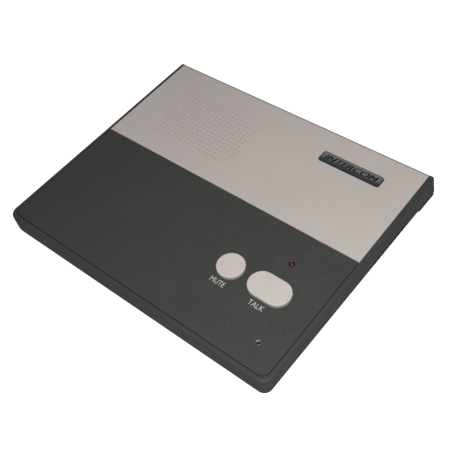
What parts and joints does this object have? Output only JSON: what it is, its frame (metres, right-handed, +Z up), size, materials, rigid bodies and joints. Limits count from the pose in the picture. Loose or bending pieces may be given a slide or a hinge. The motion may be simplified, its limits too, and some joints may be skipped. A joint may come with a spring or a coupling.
{
  "type": "desk intercom station",
  "caption": "Thin sloping desk intercom station with a perforated speaker panel, a dark control panel, a round and a pill-shaped push button, a red indicator and a microphone hole.",
  "frame": {"origin": "centre of the outline on the desk, at the underside of the rubber feet", "axes": "+X to the right as the user faces it, +Y towards the raised rear, +Z up"},
  "size_m": [0.1898, 0.168, 0.0245],
  "materials": {
    "housing": "fine spark texture, dark charcoal grey",
    "base": "fine spark texture, dark charcoal grey",
    "pale_panel": "smooth, pale warm grey with a faint metallic sheen",
    "dark_panel": "satin, dark grey with a fine pale speckle",
    "nameplate": "brushed, with a dark border",
    "button": "satin, pale warm grey",
    "switch_case": "moulded black",
    "nylon": "moulded natural nylon",
    "spring_wire": "drawn spring wire",
    "red_lens": "tinted clear epoxy, unlit",
    "tinned_lead": "tinned",
    "aluminium_can": "drawn can",
    "rubber": "moulded, matt",
    "wire_insulation": "extruded vinyl",
    "gasket": "pressed fibre card",
    "plated_steel": "zinc plated",
    "cone_paper": "pressed black paper",
    "copper": "enamelled copper winding",
    "magnet": "plated magnet",
    "brass": "stamped",
    "board": "green solder mask",
    "epoxy": "moulded epoxy",
    "capacitor_sleeve": "heat-shrunk sleeve",
    "film_dip": "dipped epoxy",
    "resistor_body": "lacquered",
    "core_steel": "laminated steel",
    "black_control": "moulded black, ribbed",
    "jack_plastic": "moulded black",
    "nickel": "nickel plated"
  },
  "bodies": {
    "station": {"upper_housing": "housing", "lower_housing": "base", "speaker_panel": "pale_panel", "control_panel": "dark_panel", "nameplate": "nameplate", "call_switch_body": "switch_case", "call_switch_spring": "spring_wire", "privacy_switch_body": "switch_case", "privacy_switch_spring": "spring_wire", "indicator_led": "red_lens", "led_leads": "tinned_lead", "led_spacer": "switch_case", "microphone_capsule": "aluminium_can", "microphone_boot": "rubber", "microphone_leads": "wire_insulation", "speaker_gasket": "gasket", "speaker_basket": "plated_steel", "speaker_cone": "cone_paper", "speaker_dust_cap": "cone_paper", "speaker_voice_coil": "copper", "speaker_top_plate": "plated_steel", "speaker_magnet": "magnet", "speaker_yoke": "plated_steel", "speaker_terminals": "brass", "speaker_clamps": "plated_steel", "speaker_screws": "plated_steel", "speaker_leads": "wire_insulation", "main_board": "board", "board_screws": "plated_steel", "amplifier_chip": "epoxy", "switching_chip": "epoxy", "chip_legs": "tinned_lead", "electrolytic_capacitors": "capacitor_sleeve", "film_capacitors": "film_dip", "resistors": "resistor_body", "transistors": "epoxy", "transformer_core": "core_steel", "transformer_coil": "copper", "wire_headers": "nylon", "volume_potentiometer": "switch_case", "power_switch_body": "plated_steel", "dc_jack_body": "jack_plastic", "dc_jack_pin": "nickel", "line_jack": "jack_plastic", "line_jack_contact": "brass", "housing_screws": "plated_steel", "rubber_feet": "rubber"},
    "call_button_body": {"call_button": "button", "call_switch_plunger": "nylon"},
    "privacy_button_body": {"privacy_button": "button", "privacy_switch_plunger": "nylon"},
    "volume_wheel_body": {"volume_wheel": "black_control"},
    "power_slider_body": {"power_switch_slider": "black_control"}
  },
  "joints": [
    {"name": "call_press", "type": "slide", "parent": "station", "child": "call_button_body", "axis": [0, 0.0663, -0.9978], "range_m": [0, 0.0014], "stiffness_N_per_m": 400, "springref_m": -0.001, "deforming": ["call_switch_spring"]},
    {"name": "privacy_press", "type": "slide", "parent": "station", "child": "privacy_button_body", "axis": [0, 0.0663, -0.9978], "range_m": [0, 0.0014], "stiffness_N_per_m": 400, "springref_m": -0.001, "deforming": ["privacy_switch_spring"]},
    {"name": "volume_turn", "type": "hinge", "parent": "station", "child": "volume_wheel_body", "pos_m": [0.018, 0.0689, 0.01827], "axis": [0, -0.0663, 0.9978], "range_deg": [-135, 135]},
    {"name": "power_slide", "type": "slide", "parent": "station", "child": "power_slider_body", "axis": [1, 0, 0], "range_m": [0, 0.003]}
  ]
}
